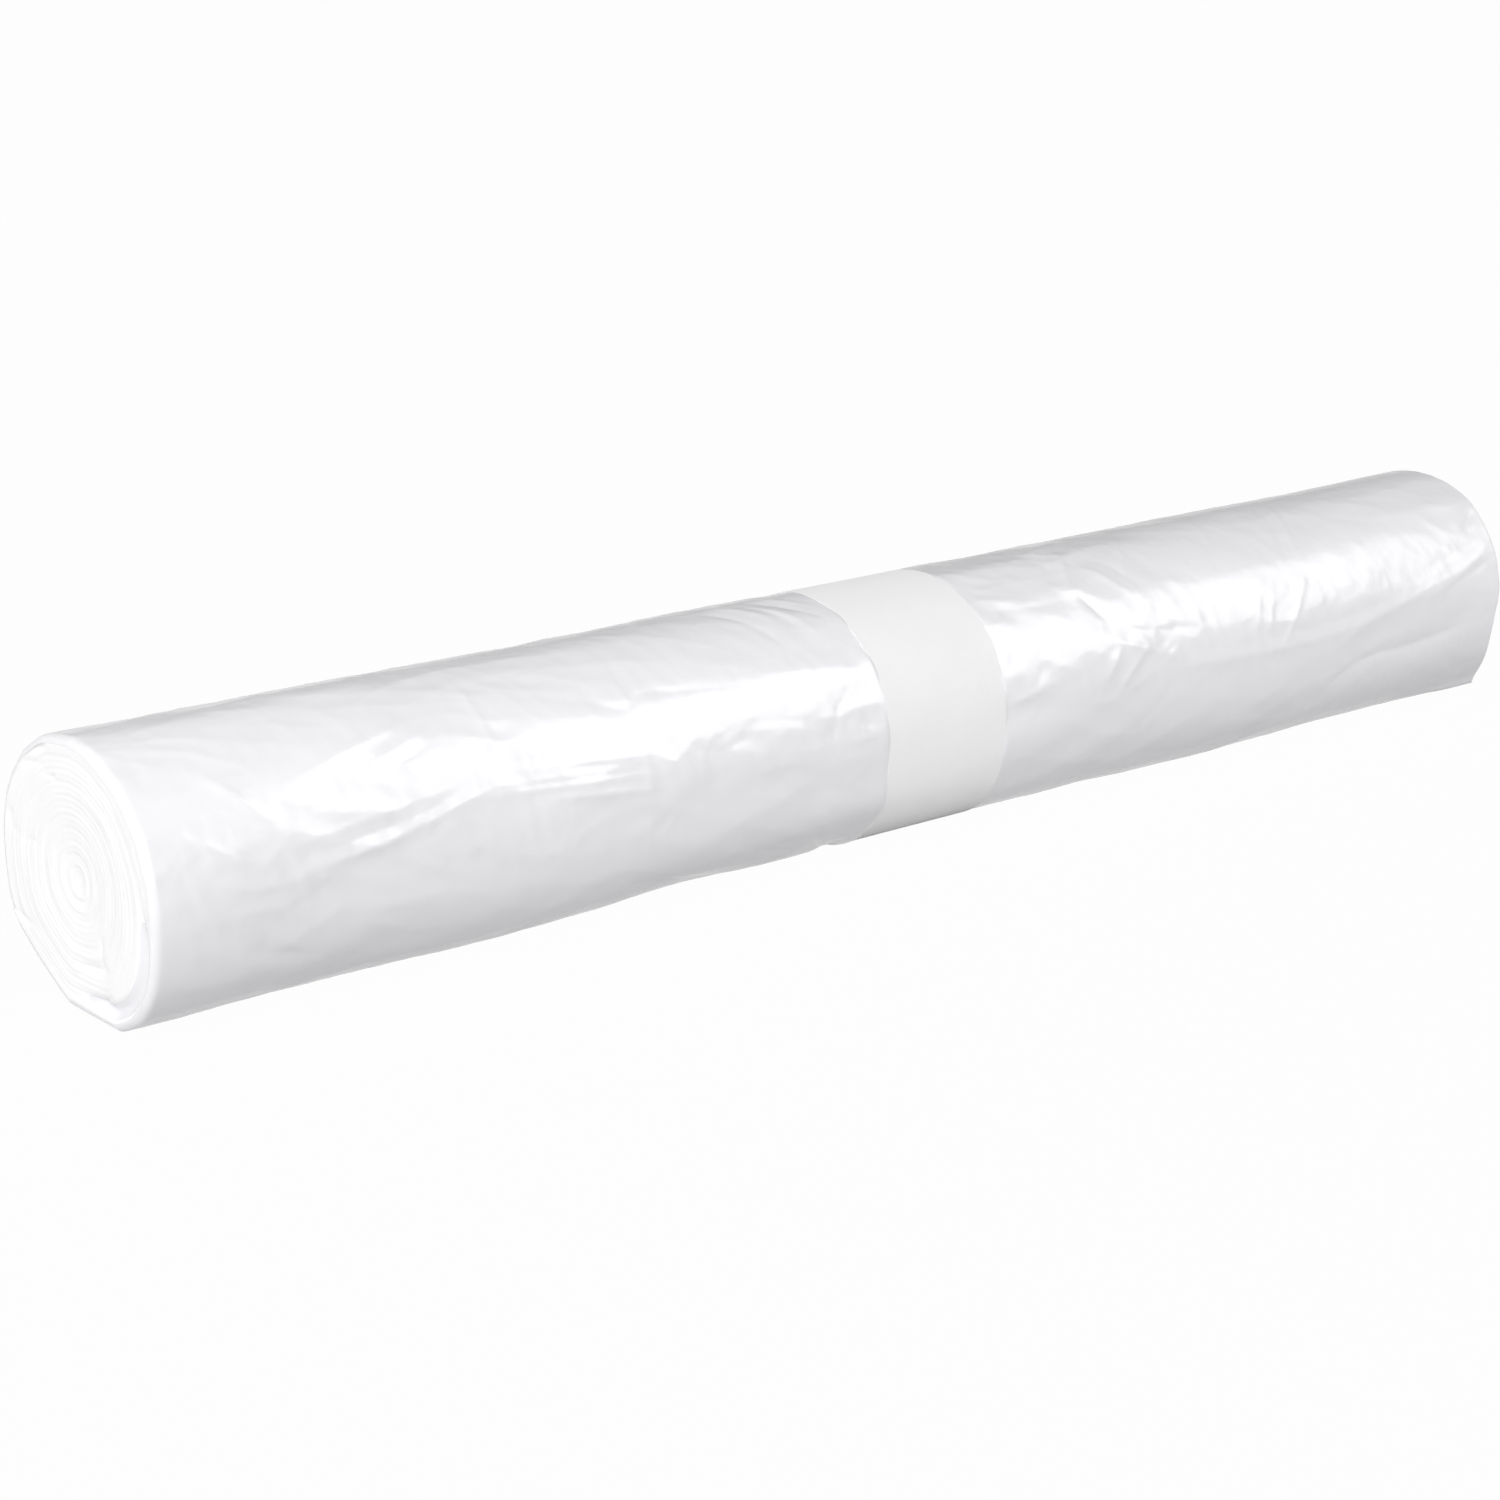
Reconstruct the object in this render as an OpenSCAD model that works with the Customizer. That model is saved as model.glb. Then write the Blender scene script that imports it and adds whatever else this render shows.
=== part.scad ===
// A roll of folded bin bags, held closed by a plain paper band.
// The roll lies along X on the flat spot that resting has pressed into it, at z = 0.
// Angles round the roll start at its back (+Y) and run over its top (+Z) to its front (-Y).

/* [Roll] */
// Length of the roll, which is the width of the folded film
roll_length = 350; // [200:5:500]
// Width of the roll from front to back
roll_width = 52; // [36:1:80]
// Height of the roll from its flat underside to its top
roll_height = 49; // [34:1:76]
// How far resting has pressed in the round underside
flat_depth = 1.2; // [0.4:0.1:3]
// Fullness of the lower half, where 2 is a plain ellipse
belly_fullness = 2.5; // [2:0.1:3.2]
// Where the lower back has been pressed flat, as an angle round the roll
back_press_angle = 300; // [285:1:330]
// How far the lower back has been pressed in
back_press_depth = 3; // [0:0.1:5]

/* [Film] */
// Height of the step where the folded film ends on the outside of the roll
film_edge = 0.35; // [0.1:0.05:0.8]
// Where that step lies, as an angle round the roll
film_edge_angle = 335; // [300:1:350]
// Number of turns that show at each end, where the real ones bunch together
shown_turns = 9; // [3:1:11]
// Depth of the spiral groove between the turns at each end
turn_groove = 0.6; // [0.2:0.1:2]
// How far the innermost turn sits back from the end
end_dish = 1.5; // [0:0.1:6]
// Rounding of the outermost turn at each end
lip_round = 1.6; // [0.5:0.1:5]

/* [Band] */
// Width of the paper band along the roll
band_width = 31.5; // [15:0.5:80]
// Distance from the middle of the roll to the middle of the band
band_offset = 1.8; // [-40:0.1:40]
// Thickness of the paper
paper = 0.2; // [0.1:0.05:0.5]
// How far the band pulls the roll in, measured to the face of the paper
band_pull = 0.3; // [0.2:0.1:2]
// Clearance between the film and the paper
band_clearance = 0.05; // [0.02:0.01:0.2]
// Width of the glued overlap where the band closes
glue_width = 12; // [6:0.5:25]
// Where the overlap starts, as an angle round the roll
glue_angle = 20; // [0:1:80]

/* [Gathers and folds] */
// Height of the film's gathers beside the band
gather_height = 0.3; // [0:0.05:1.2]
// Number of gathers round the roll
gather_count = 12; // [6:1:15]
// How far the gathers reach along the roll
gather_reach = 16; // [5:1:40]
// How far along the roll the band holds the film down, level with its paper
hold_reach = 20; // [5:1:80]
// Height of the long slanting folds in the loose outer turn
fold_height = 0.35; // [0:0.05:0.8]
// Distance along the roll from one such fold to the next
fold_spacing = 95; // [50:1:200]

/* [Dent] */
// Depth of the dent that handling has left in the lower front
dent_depth = 0.7; // [0:0.1:3]
// Where the dent lies along the roll, from the roll's middle
dent_place = -54; // [-120:1:-40]
// Where it lies, as an angle round the roll
dent_angle = 240; // [190:1:250]
// How far the dent reaches to either side along the roll
dent_reach = 15; // [8:1:40]
// How far it reaches to either side, as an angle
dent_spread = 13; // [8:1:20]

/* [Hidden] */

// Flat sides round the roll, stations along each half, which crowd towards the band,
// and rings in each rounded lip
sides = 60;
half_stations = 18;
crowding = 1.6;
lip_rings = 3;

// The half height of the roll before resting flattened it, and its axis above the surface
half_height = (roll_height + flat_depth) / 2;
axis_height = half_height - flat_depth;

// The band's ends, and how far the film under it lies inside the free section
band_left = band_offset - band_width / 2;
band_right = band_offset + band_width / 2;
paper_and_clearance = paper + band_clearance;
film_under_band = band_pull + paper_and_clearance;

// Distance from the axis to the round section at an angle, before anything pressed it
function round_radius(a) = let (
    half_width = roll_width / 2,
    fullness = sin(a) < 0 ? belly_fullness : 2
) pow(pow(abs(cos(a)) / half_width, fullness) + pow(abs(sin(a)) / half_height, fullness), -1 / fullness);

// The same with the lower back pressed flat, where the two surfaces run softly into each other
press_sharpness = 16;
back_distance = round_radius(back_press_angle) - back_press_depth;
function soft_min(u, v) = pow(pow(u, -press_sharpness) + pow(v, -press_sharpness), -1 / press_sharpness);
function section_radius(a) = let (facing = cos(a - back_press_angle))
    facing > 0 ? soft_min(round_radius(a), back_distance / facing) : round_radius(a);

// The flat underside cuts the section at the surface, or at a height above it
function flatten(radius, a, height) = sin(a) < 0 ? min(radius, (axis_height - height) / -sin(a)) : radius;

// The outer turn starts under the film's edge and grows outwards to end on top of it.
// A share from 0 to 1 says how far round that turn a point is.
function turn_angle(share) = film_edge_angle + 360 * share;
function skin_radius(share, inset, height) = let (a = turn_angle(share))
    flatten(section_radius(a) + film_edge * share - inset, a, height);

// A point on a ray round the axis
function on_ray(a, radius) = [radius * cos(a), radius * sin(a)];

// Distance along the roll from the nearest end of the band
function off_band(x) = max(band_left - x, x - band_right, 0);

// Gathers and folds are stronger on some sides of the roll than on others
unevenness = 0.35;
function uneven(turned) = 1 - unevenness + unevenness * sin(turned);

// Gathers fan out from the band and die away, with the two ends of the band out of step
first_gather = 137;
out_of_step = 145;
function gathers(x, a) = let (
    shift = first_gather + (x < band_offset ? 0 : out_of_step),
    fan = off_band(x)
) gather_height * exp(-fan / gather_reach) * sin(gather_count * a + shift + fan) * uneven(5 * a + shift);

// The band holds the film down beside it, from 1 at the paper to nothing further off
function held(x) = exp(-pow(off_band(x) / hold_reach, 2));

// Long folds wind slowly round the roll, crossing others that wind the other way
function folds(x, a) = let (along = 360 * x / fold_spacing)
    fold_height * sin(2 * a + along) * uneven(a - along / 2);

// One shallow dent, where an angle past a full turn counts as the angle it falls on
function dent(x, a) = let (
    along = (x - dent_place) / dent_reach,
    around = ((a - dent_angle + 180) % 360 - 180) / dent_spread
) dent_depth * exp(-along * along - around * around);

function relief(x, a) = gathers(x, a) + folds(x, a) * (1 - held(x)) - band_pull * held(x) - dent(x, a);

// Stations are [x, inset, height of the flat, share of the relief].
// From an end, the lip curves round, and the stations then close up towards the band.
function lip_stations(end) = [for (ring = [0 : lip_rings - 1]) let (
    turned = 45 * (1 - ring / (lip_rings - 1)),
    inset = lip_round * (1 - cos(turned))
) [end * (roll_length / 2 - lip_round * (1 - sin(turned))), inset, inset, 1]];

function span_stations(end, band_end) = let (
    lip_x = end * (roll_length / 2 - lip_round),
    last_x = band_end + end * film_under_band
) [for (i = [1 : half_stations]) let (left = pow(1 - i / half_stations, crowding))
    [last_x + (lip_x - last_x) * left, 0, 0, 1]];

function band_station(x) = [x, film_under_band, paper_and_clearance, 0];
function reversed(list) = [for (i = [len(list) - 1 : -1 : 0]) list[i]];

left_half = concat(lip_stations(-1), span_stations(-1, band_left), [band_station(band_left)]);
right_half = concat(lip_stations(1), span_stations(1, band_right), [band_station(band_right)]);
stations = concat(left_half, reversed(right_half));

// One ring has a point more than it has sides, because the film's edge is a step
function ring(station) = [for (i = [0 : sides]) let (
    share = i / sides,
    a = turn_angle(share),
    raised = station[3] * relief(station[0], a)
) on_ray(a, skin_radius(share, station[1] - raised, station[2]))];
rings = [for (station = stations) ring(station)];

// The roll is moved so that it lies evenly about the origin
depths = [for (points = rings) for (point = points) point[0]];
middle = [0, -(min(depths) + max(depths)) / 2, axis_height];

// Each end is one spiral groove line, wound from an eye in the middle out to the first ring.
// The inner turns are round, and further out they take on the form of the outer turn.
groove_points = sides * shown_turns;
eye_turns = 0.5;
function groove_radius(outer, i) = let (
    step = i % sides,
    rim = norm(outer[step]) - film_edge * step / sides,
    out = (i / sides + eye_turns) / (shown_turns + eye_turns)
) i < groove_points ? out * (axis_height + (rim - axis_height) * out) : norm(outer[i - groove_points]);

function sits_back(i) = end_dish * pow(max(0, 1 - i / (groove_points - sides)), 2);

function groove_line(end, outer) = [for (i = [0 : groove_points - 1]) let (
    x = roll_length / 2 - turn_groove - sits_back(i)
) concat(end * x, on_ray(turn_angle(i / sides), groove_radius(outer, i)))];

// Between one turn of the groove and the next the film's edges stand up as a ridge,
// which sinks where the outer turn thins out towards the film's edge
function ridge_line(end, outer) = [for (i = [0 : groove_points]) let (
    inner = groove_radius(outer, i),
    wide = groove_radius(outer, i + sides) - inner,
    full = axis_height / (shown_turns + eye_turns) / 2,
    x = roll_length / 2 - turn_groove * max(0, 1 - wide / full) - sits_back(i)
) concat(end * x, on_ray(turn_angle(i / sides), inner + wide / 2))];

function end_points(end, outer) = concat(
    groove_line(end, outer),
    ridge_line(end, outer),
    [[end * (roll_length / 2 - turn_groove - end_dish), 0, 0]]
);

roll_points = concat(
    [for (i = [0 : len(rings) - 1]) for (point = rings[i]) concat(stations[i][0], point)],
    end_points(-1, rings[0]),
    end_points(1, rings[len(rings) - 1])
);

// Places of the points in that list: on a ring, and on an end's groove, ridge and middle
last_ring = len(rings) - 1;
function on_ring(ring, i) = ring * (sides + 1) + i;
function end_start(end) = on_ring(last_ring + 1, 0) + (end < 0 ? 0 : 2 * groove_points + 2);
function on_groove(end, i) = i < groove_points
    ? end_start(end) + i
    : on_ring(end < 0 ? 0 : last_ring, i - groove_points);
function on_ridge(end, i) = end_start(end) + groove_points + i;
function on_middle(end) = end_start(end) + 2 * groove_points + 1;

function two_triangles(a, b, c, d) = [[a, b, c], [a, c, d]];

skin_faces = [for (ring = [0 : last_ring - 1]) for (i = [0 : sides - 1]) each two_triangles(
    on_ring(ring, i), on_ring(ring + 1, i), on_ring(ring + 1, i + 1), on_ring(ring, i + 1)
)];

film_edge_faces = [for (ring = [0 : last_ring - 1]) each two_triangles(
    on_ring(ring, 0), on_ring(ring, sides), on_ring(ring + 1, sides), on_ring(ring + 1, 0)
)];

function turn_faces(end) = [for (i = [0 : groove_points - 1]) each concat(
    two_triangles(on_groove(end, i), on_ridge(end, i), on_ridge(end, i + 1), on_groove(end, i + 1)),
    two_triangles(
        on_ridge(end, i), on_groove(end, i + sides), on_groove(end, i + sides + 1), on_ridge(end, i + 1)
    )
)];

// The innermost turn is closed towards the middle, and the outermost where the film ends
function closing_faces(end) = concat(
    [for (i = [0 : sides - 2]) [on_middle(end), on_groove(end, i), on_groove(end, i + 1)]],
    [[on_middle(end), on_groove(end, sides - 1), on_groove(end, 0)]],
    two_triangles(on_groove(end, sides - 1), on_groove(end, sides), on_ridge(end, 0), on_groove(end, 0)),
    [[
        on_groove(end, groove_points),
        on_ridge(end, groove_points),
        on_groove(end, groove_points + sides)
    ]]
);

function end_faces(end) = let (faces = concat(turn_faces(end), closing_faces(end)))
    end < 0 ? faces : [for (face = faces) reversed(face)];

module bag_roll() {
    color([0.9, 0.91, 0.92])
        translate(middle)
            polyhedron(points = roll_points, faces = concat(
                skin_faces, film_edge_faces, end_faces(-1), end_faces(1)
            ));
}

// The band is a strip of even thickness that goes once round the film and laps over its own start.
// It bridges the film's edge, and the strip's own start, over the length of one side.
bridge_share = 1 / sides;
function paper_point(share, layers) = let (
    a = turn_angle(share),
    bridge = film_edge * max(0, 1 - share / bridge_share),
    inset = band_pull + paper * (1 - layers) - (layers > 0 ? bridge : 0)
) on_ray(a, skin_radius(share, inset, paper * (1 - min(layers, 1))));

// The overlap runs from the start of the strip to its outer end
glue_from = ((glue_angle - film_edge_angle) % 360 + 360) % 360 / 360;
glue_to = glue_from + glue_width / (PI * (roll_width + roll_height) / 2);

function strip_points(from, to, layers) = [for (i = [0 : sides - 1]) let (share = i / sides)
    if (share > from && share < to) paper_point(share, layers)];

paper_outline = concat(
    [paper_point(0, 1)],
    strip_points(0, glue_from, 1),
    [paper_point(glue_from, 1), paper_point(glue_from + bridge_share, 2)],
    strip_points(glue_from + bridge_share, glue_to, 2),
    [paper_point(glue_to, 2), paper_point(glue_to, 1)],
    strip_points(glue_to, 1, 1)
);
film_outline = [for (i = [0 : sides]) paper_point(i / sides, 0)];

module paper_band() {
    color([0.97, 0.97, 0.95])
        translate(middle + [band_left, 0, 0])
            rotate([90, 0, 90])
                linear_extrude(height = band_width)
                    difference() {
                        polygon(paper_outline);
                        polygon(film_outline);
                    }
}

bag_roll();
paper_band();
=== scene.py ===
# %% [markdown]
# # A roll of bin bags in Blender
# The real object is one long web of thin, glossy, translucent white film, folded and wound
# tight on itself, with a strip of white paper glued round it. The exact model comes in first
# as a fixed frame, and everything that is made here has to fit it.

# %% Load the exact model
import math

import bmesh
import bpy
import numpy as np
from mathutils import Matrix, Vector, noise


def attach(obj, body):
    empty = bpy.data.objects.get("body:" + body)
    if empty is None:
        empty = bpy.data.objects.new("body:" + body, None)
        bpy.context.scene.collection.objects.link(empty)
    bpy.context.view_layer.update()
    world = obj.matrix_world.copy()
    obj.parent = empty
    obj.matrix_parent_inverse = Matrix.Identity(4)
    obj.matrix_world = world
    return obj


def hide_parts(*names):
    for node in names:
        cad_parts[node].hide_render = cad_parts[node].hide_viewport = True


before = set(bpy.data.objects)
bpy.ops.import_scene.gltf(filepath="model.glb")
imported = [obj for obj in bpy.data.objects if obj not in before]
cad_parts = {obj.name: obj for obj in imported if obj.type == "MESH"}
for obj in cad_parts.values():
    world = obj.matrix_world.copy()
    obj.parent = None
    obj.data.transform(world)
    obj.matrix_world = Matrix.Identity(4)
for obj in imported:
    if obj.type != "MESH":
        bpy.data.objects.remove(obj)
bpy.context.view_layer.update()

MM = 0.001

# %% [markdown]
# ## The camera
# A long roll seen from one end tells a lot through its perspective: the near end looks half
# as big again as the far one. The camera stands half a metre from the near end, a little
# above the roll, and turned towards its middle. The lens and the small shift set the framing.

# %% Set up the camera
TURNED = math.radians(-39.606)  # to the right of straight ahead
TIPPED = math.radians(-15.894)  # down from level
camera = bpy.data.objects.new("camera", bpy.data.cameras.new("camera"))
bpy.context.scene.collection.objects.link(camera)
camera.location = (-0.41392, -0.46454, 0.19515)  # metres
camera.rotation_euler = (math.pi / 2 + TIPPED, 0, TURNED)
camera.data.lens = 76.8  # mm
camera.data.sensor_width = 36
camera.data.shift_x = 0.0057
camera.data.shift_y = -0.0118
camera.data.clip_start = 0.01
bpy.context.scene.camera = camera
print("camera is", round(camera.location.length, 3), "m from the middle of the roll's underside")

# %% [markdown]
# ## The shape of the roll's section
# Resting and handling have pressed the soft roll. Its section is nearly an ellipse that is
# fuller below, flat on the underside and flattened at the lower back. One formula for the
# radius at every angle says all of it, and it is the formula that the exact model was made
# with, so the new film lies where the old solid did. Angles start at the back (+Y) and run
# over the top to the front (-Y).

# %% The section as a formula
ROLL_LENGTH, ROLL_WIDTH, ROLL_HEIGHT = 350, 52, 49  # mm, as every size of the roll
FLAT_DEPTH = 1.2
HALF_HEIGHT = (ROLL_HEIGHT + FLAT_DEPTH) / 2
AXIS_HEIGHT = HALF_HEIGHT - FLAT_DEPTH
MIDDLE_Y = 0.077
ELLIPSE_FULLNESS, BELLY_FULLNESS = 2.0, 2.5
PRESS_ANGLE, PRESS_DEPTH, PRESS_SHARPNESS = math.radians(300), 3, 16
FILM_EDGE, FILM_EDGE_ANGLE = 0.35, 335
NEVER_ZERO, LEAST_FACING = 1e-6, 0.01  # keep a division away from zero


def round_radius(a):
    fullness = np.where(np.sin(a) < 0, BELLY_FULLNESS, ELLIPSE_FULLNESS)
    across = (np.abs(np.cos(a)) / (ROLL_WIDTH / 2)) ** fullness
    return (across + (np.abs(np.sin(a)) / HALF_HEIGHT) ** fullness) ** (-1 / fullness)


def section_radius(a):
    radius = round_radius(a)
    pressed = round_radius(PRESS_ANGLE) - PRESS_DEPTH
    facing = np.cos(a - PRESS_ANGLE)
    flat_back = pressed / np.maximum(facing, LEAST_FACING)
    soft = (radius ** -PRESS_SHARPNESS + flat_back ** -PRESS_SHARPNESS) ** (-1 / PRESS_SHARPNESS)
    return np.where(facing > 0, soft, radius)


def flatten(radius, a, height):
    """Cuts the section off on a level plane at a height above the ground."""
    down = -np.sin(a)
    to_plane = (AXIS_HEIGHT - height) / np.maximum(down, NEVER_ZERO)
    return np.where(down > 0, np.minimum(radius, to_plane), radius)


def turn_angle(share):
    """The angle at a share of one turn, counted from the film's last edge."""
    return np.radians(FILM_EDGE_ANGLE + 360 * share)


def skin_radius(share, inset, height):
    """The radius of the roll's skin, which grows by the film's edge over one turn."""
    a = turn_angle(share)
    return flatten(section_radius(a) + FILM_EDGE * share - inset, a, height)


radii = section_radius(np.radians([0, 90, 180]))
print("radius at the back, top and front:", [round(float(r), 2) for r in radii])

# %% [markdown]
# ## Gathers, long folds and a dent
# Where the paper band squeezes the roll, the film lies level with the paper, and its loose
# outer turns bunch up into gathers that fan out and die away. Further off, long folds wind
# slowly round the roll, and handling has left a dent in the lower front. They are sums of
# sines and bell curves, as in the exact model.

# %% The film's large relief
BAND_WIDTH, BAND_OFFSET = 31.5, 1.8
BAND_LEFT, BAND_RIGHT = BAND_OFFSET - BAND_WIDTH / 2, BAND_OFFSET + BAND_WIDTH / 2
PAPER, BAND_PULL, BAND_CLEARANCE = 0.2, 0.3, 0.05
FILM_UNDER_BAND = BAND_PULL + PAPER + BAND_CLEARANCE
GATHER_HEIGHT, GATHER_COUNT, GATHER_REACH = 0.3, 12, 16
FIRST_GATHER, OUT_OF_STEP = math.radians(137), math.radians(145)
HOLD_REACH = 20
FOLD_HEIGHT, FOLD_SPACING = 0.35, 95
DENT_DEPTH, DENT_PLACE, DENT_ANGLE, DENT_REACH, DENT_SPREAD = 0.7, -54, 240, 15, 13
GATHER_UNEVEN = 5  # how many times round the roll the gathers grow and shrink


def off_band(x):
    """The distance along the roll from the nearest edge of the band."""
    return np.maximum(np.maximum(BAND_LEFT - x, x - BAND_RIGHT), 0)


def uneven(turned):
    """A share from 0.3 to 1 that rises and falls."""
    return 0.65 + 0.35 * np.sin(turned)


def bell(distance, reach):
    return np.exp(-((distance / reach) ** 2))


def hump(degrees, middle, spread):
    """A bell curve round the roll, which is 1 at its middle."""
    return bell((degrees - middle + 180) % 360 - 180, spread)


def large_relief(x, a):
    shift = FIRST_GATHER + np.where(x < BAND_OFFSET, 0, OUT_OF_STEP)
    fan = off_band(x)
    gathers = np.exp(-fan / GATHER_REACH) * np.sin(GATHER_COUNT * a + shift + np.radians(fan))
    gathers = GATHER_HEIGHT * gathers * uneven(GATHER_UNEVEN * a + shift)
    held = bell(fan, HOLD_REACH)
    along = 2 * math.pi * x / FOLD_SPACING
    folds = FOLD_HEIGHT * np.sin(2 * a + along) * uneven(a - along / 2)
    dent = DENT_DEPTH * bell(x - DENT_PLACE, DENT_REACH) * hump(np.degrees(a), DENT_ANGLE, DENT_SPREAD)
    return gathers + folds * (1 - held) - BAND_PULL * held - dent


# %% [markdown]
# ## Creases
# Film that has been folded, wound and handled keeps creases: thin ridges with soft flanks,
# which catch the light as streaks. Each one is a short path over the unrolled film, in
# millimetres along the roll and degrees round it, with a height and a width. Cutting the
# corners of the path bends it softly, and the ridge rises and dies away along it. They are
# pressed into the mesh one by one, because a bump map would vanish at the outline.

# %% How one crease is pressed in
MEAN_RADIUS = 25.7
MM_PER_DEGREE = math.radians(MEAN_RADIUS)
CREST_ROUND, PRESS_REACH = 0.2, 6


def bend_softly(path):
    """Cuts the corners of a path twice."""
    points = np.array(path, float)
    for _ in range(2 if len(points) > 2 else 0):
        cut = [points[0]]
        for p, q in zip(points[:-1], points[1:]):
            cut += [0.75 * p + 0.25 * q, 0.25 * p + 0.75 * q]
        points = np.array(cut + [points[-1]])
    return points


def press(surface, u, v, path, height, width):
    """Adds one crease to the heights of a surface, at the places u and v in mm."""
    points = bend_softly(path)
    low, high = points.min(0) - PRESS_REACH * width, points.max(0) + PRESS_REACH * width
    near = (u > low[0]) & (u < high[0]) & (v > low[1]) & (v < high[1])
    pu, pv = u[near], v[near]
    lengths = np.hypot(*np.diff(points, axis=0).T)
    nearest, at, walked = np.full(pu.shape, 1e9), np.zeros(pu.shape), 0.0
    for (u0, v0), (u1, v1), length in zip(points[:-1], points[1:], lengths):
        du, dv = (u1 - u0) / length, (v1 - v0) / length
        t = np.clip((pu - u0) * du + (pv - v0) * dv, 0, length)
        away = np.hypot(pu - u0 - t * du, pv - v0 - t * dv)
        at = np.where(away < nearest, (walked + t) / lengths.sum(), at)
        nearest = np.minimum(nearest, away)
        walked += length
    crest = np.exp(-(np.sqrt(nearest**2 + CREST_ROUND**2) - CREST_ROUND) / width)
    surface[near] += height * crest * 4 * at * (1 - at)


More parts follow.
